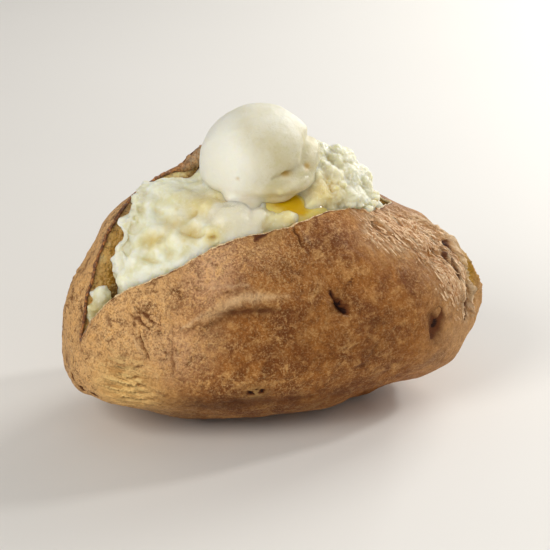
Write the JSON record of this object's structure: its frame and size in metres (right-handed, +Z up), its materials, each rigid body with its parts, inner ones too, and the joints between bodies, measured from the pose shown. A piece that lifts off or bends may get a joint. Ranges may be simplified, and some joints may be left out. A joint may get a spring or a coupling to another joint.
{
  "type": "baked potato",
  "caption": "Baked russet potato split along the top, its fluffed flesh heaped in the opening under a scoop of whipped butter.",
  "frame": {"origin": "middle of the underside of the bounding box, where the potato rests", "axes": "+X along the potato's long axis towards its narrower closed end, +Z up, the raised back lip of the opening towards +Y"},
  "size_m": [0.1306, 0.0808, 0.0952],
  "materials": {
    "skin": "dry, finely wrinkled russet skin, golden moist lining",
    "flesh": "moist fluffy crumb with soaked butter",
    "butter": "whipped butter, soft gloss, half melted"
  },
  "bodies": {
    "root": {"skin": "skin", "flesh": "flesh", "butter_scoop": "butter"}
  },
  "joints": []
}
